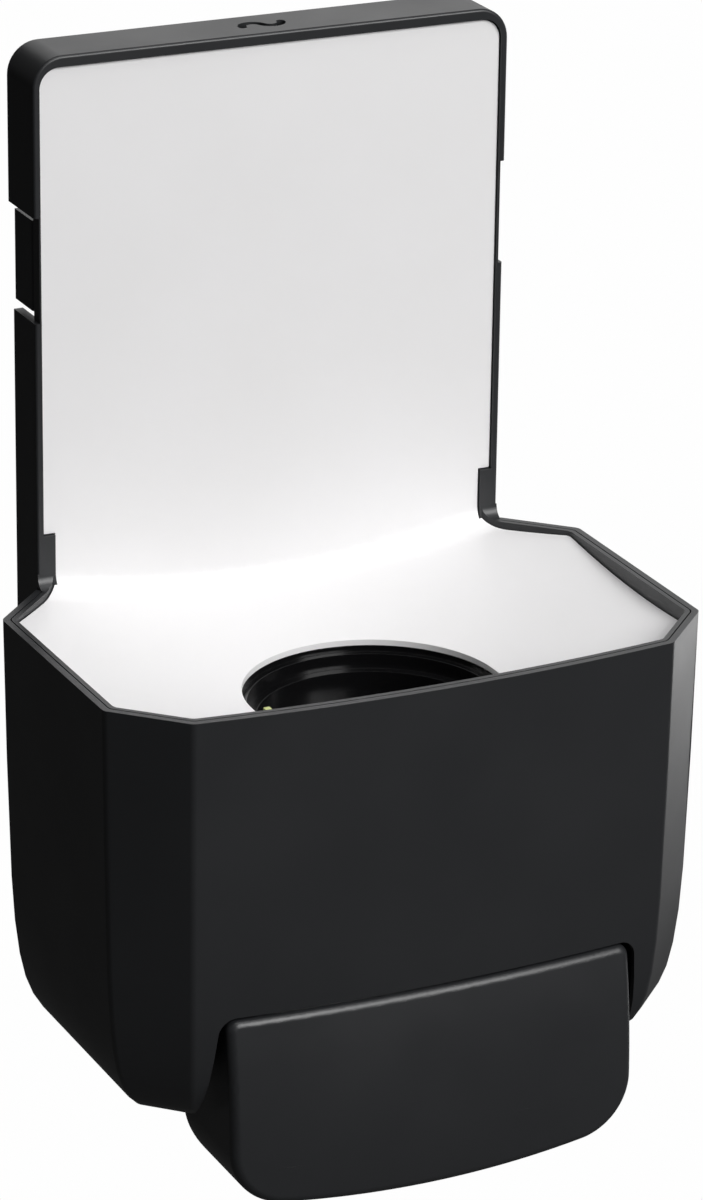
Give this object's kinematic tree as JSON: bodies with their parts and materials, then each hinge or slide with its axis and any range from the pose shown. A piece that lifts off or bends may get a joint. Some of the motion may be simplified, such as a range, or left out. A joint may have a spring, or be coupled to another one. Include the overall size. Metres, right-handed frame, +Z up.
{
  "type": "manual soap dispenser",
  "caption": "Wall-mounted push soap dispenser without its refill: tall back frame with a white liner, dished shelf with a round opening, faceted front housing and a pivoting push bar.",
  "frame": {"origin": "on the wall face of the wall plate, on the middle line, at the height of the housing's rim", "axes": "+X to the right as seen from the front, +Y into the wall, +Z up"},
  "size_m": [0.174, 0.1287, 0.2909],
  "materials": {
    "graphite_abs": "satin moulded",
    "black_abs": "satin moulded",
    "white_abs": "semi-gloss moulded",
    "latch_acetal": "moulded",
    "natural_acetal": "moulded",
    "steel": "zinc plated"
  },
  "bodies": {
    "chassis": {"back_frame": "graphite_abs", "back_liner": "white_abs", "front_housing": "graphite_abs", "refill_collar": "black_abs", "hinge_pin_left": "steel", "hinge_pin_right": "steel", "pivot_bush_left": "natural_acetal", "pivot_bush_right": "natural_acetal", "guide_rod_left": "steel", "guide_rod_right": "steel", "lifter_spring_left": "steel", "lifter_spring_right": "steel", "base_cover": "black_abs", "wall_plate": "black_abs", "lock_spring": "steel", "housing_screws": "steel", "base_screws": "steel", "collar_screws": "steel"},
    "push_bar": {"push_bar": "graphite_abs"},
    "pump_lifter": {"pump_lifter": "natural_acetal"},
    "side_button_left": {"side_button_left": "graphite_abs"},
    "side_button_right": {"side_button_right": "graphite_abs"},
    "lock_slide": {"lock_slide": "black_abs"},
    "refill_latch": {"refill_latch": "latch_acetal"}
  },
  "joints": [
    {"name": "push_bar_pivot", "type": "hinge", "parent": "chassis", "child": "push_bar", "pos_m": [0, -0.108, -0.079], "axis": [1, 0, 0], "range_deg": [0, 12], "stiffness_Nm_per_rad": 3.3, "springref_deg": -4.58},
    {"name": "lifter_slide", "type": "slide", "parent": "chassis", "child": "pump_lifter", "axis": [0, 0, 1], "range_m": [0, 0.007], "deforming": ["lifter_spring_left", "lifter_spring_right"]},
    {"name": "side_button_left_press", "type": "slide", "parent": "chassis", "child": "side_button_left", "axis": [1, 0, 0], "range_m": [0, 0.0018], "stiffness_N_per_m": 900, "springref_m": -0.001},
    {"name": "side_button_right_press", "type": "slide", "parent": "chassis", "child": "side_button_right", "axis": [-1, 0, 0], "range_m": [0, 0.0018], "stiffness_N_per_m": 900, "springref_m": -0.001},
    {"name": "lock_press", "type": "slide", "parent": "chassis", "child": "lock_slide", "axis": [0, 0, -1], "range_m": [0, 0.006], "stiffness_N_per_m": 150, "springref_m": -0.002, "deforming": ["lock_spring"]},
    {"name": "refill_latch_slide", "type": "slide", "parent": "chassis", "child": "refill_latch", "axis": [-1, 0, 0], "range_m": [0, 0.0025], "stiffness_N_per_m": 400, "springref_m": -0.001}
  ],
  "couplings": [
    {"joint": "lifter_slide", "follows": "push_bar_pivot", "m_per_rad": 0.0322}
  ]
}
